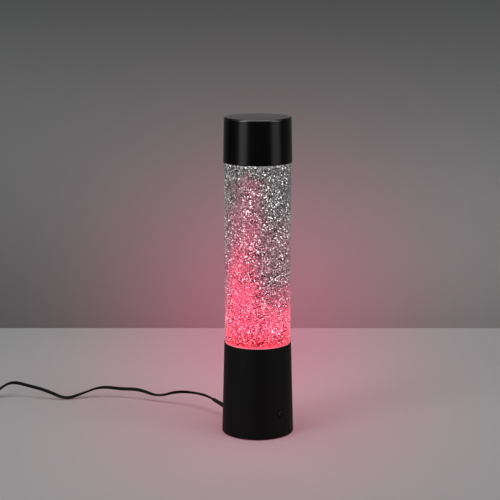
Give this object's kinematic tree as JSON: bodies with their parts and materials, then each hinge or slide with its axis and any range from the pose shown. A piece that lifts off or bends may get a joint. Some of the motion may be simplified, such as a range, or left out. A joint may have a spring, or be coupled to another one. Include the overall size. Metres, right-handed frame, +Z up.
{
  "type": "glitter lamp",
  "caption": "Round table lamp with a clear liquid tank of glitter, lit from below, stirred by a hidden magnetic drive, with a front push button and a thin black supply lead.",
  "frame": {"origin": "middle of the surface that the lamp stands on, on the lamp's axis", "axes": "+Z up along the lamp's axis; the push button looks along -Y; the lead leaves along +Y"},
  "size_m": [0.3171, 0.3712, 0.38],
  "materials": {
    "black_moulding": "fine-grained, matt",
    "black_cap": "smooth, satin",
    "clear_acrylic": "clear, polished",
    "glitter_liquid": "clear, smoky, with silver flakes",
    "silver_flakes": "metallised film, mirror-like",
    "black_rubber": "matt",
    "lead_jacket": "smooth, satin",
    "zinc_steel": "zinc plated",
    "motor_steel": "drawn, plated",
    "core_steel": "laminated",
    "ground_steel": "ground",
    "sintered_bronze": "sintered, oiled",
    "ferrite": "ground, dark grey",
    "plated_magnet": "nickel plated",
    "white_moulding": "smooth",
    "black_inner": "smooth",
    "board_green": "solder resist, satin",
    "chip_black": "moulded",
    "red_lens": "clear, tinted",
    "green_lens": "clear, tinted",
    "blue_lens": "clear, tinted",
    "plug_steel": "nickel plated",
    "contact_gold": "gold plated"
  },
  "bodies": {
    "lamp": {"base_housing": "black_moulding", "base_cover": "black_moulding", "rubber_feet": "black_rubber", "cover_screws": "zinc_steel", "drive_deck": "black_inner", "deck_screws": "zinc_steel", "motor_can": "motor_steel", "motor_end": "white_moulding", "motor_terminals": "sintered_bronze", "motor_bushes": "sintered_bronze", "motor_screws": "zinc_steel", "field_magnet": "ferrite", "light_board": "board_green", "light_board_screws": "zinc_steel", "red_light": "red_lens", "green_light": "green_lens", "blue_light": "blue_lens", "tank_floor": "clear_acrylic", "tank_tube": "clear_acrylic", "liquid": "glitter_liquid", "glitter": "silver_flakes", "lid_gasket": "black_rubber", "tank_lid": "clear_acrylic", "fill_plug": "black_rubber", "cap": "black_cap", "stirrer_pin": "ground_steel", "pin_retainer": "white_moulding", "switch_body": "black_inner", "control_board": "board_green", "control_board_screws": "zinc_steel", "control_chip": "chip_black", "board_connectors": "white_moulding", "inner_lead": "lead_jacket", "motor_lead": "lead_jacket", "light_lead": "lead_jacket", "cord_clamp": "black_inner", "clamp_screws": "zinc_steel", "cord_gland": "black_rubber", "cord": "lead_jacket", "cord_coil": "lead_jacket", "cord_tail": "lead_jacket", "plug_relief": "black_rubber", "plug_grip": "black_rubber", "plug_shell": "plug_steel", "plug_tongue": "white_moulding", "plug_contacts": "contact_gold"},
    "button": {"push_button": "black_moulding", "switch_plunger": "black_inner"},
    "motor_rotor": {"motor_shaft": "ground_steel", "motor_armature": "core_steel", "magnet_carrier": "white_moulding", "drive_magnets": "plated_magnet"},
    "stirrer": {"stirrer": "white_moulding", "stirrer_magnets": "plated_magnet"}
  },
  "joints": [
    {"name": "button_press", "type": "slide", "parent": "lamp", "child": "button", "axis": [0, 1, 0], "range_m": [0, 0.001], "stiffness_N_per_m": 400},
    {"name": "motor_spin", "type": "hinge", "parent": "lamp", "child": "motor_rotor", "pos_m": [0, 0, 0.0816], "axis": [0, 0, 1], "continuous": true},
    {"name": "stirrer_spin", "type": "hinge", "parent": "lamp", "child": "stirrer", "pos_m": [0, 0, 0.109], "axis": [0, 0, 1], "continuous": true}
  ],
  "couplings": [
    {"joint": "stirrer_spin", "follows": "motor_spin", "ratio": 1}
  ]
}
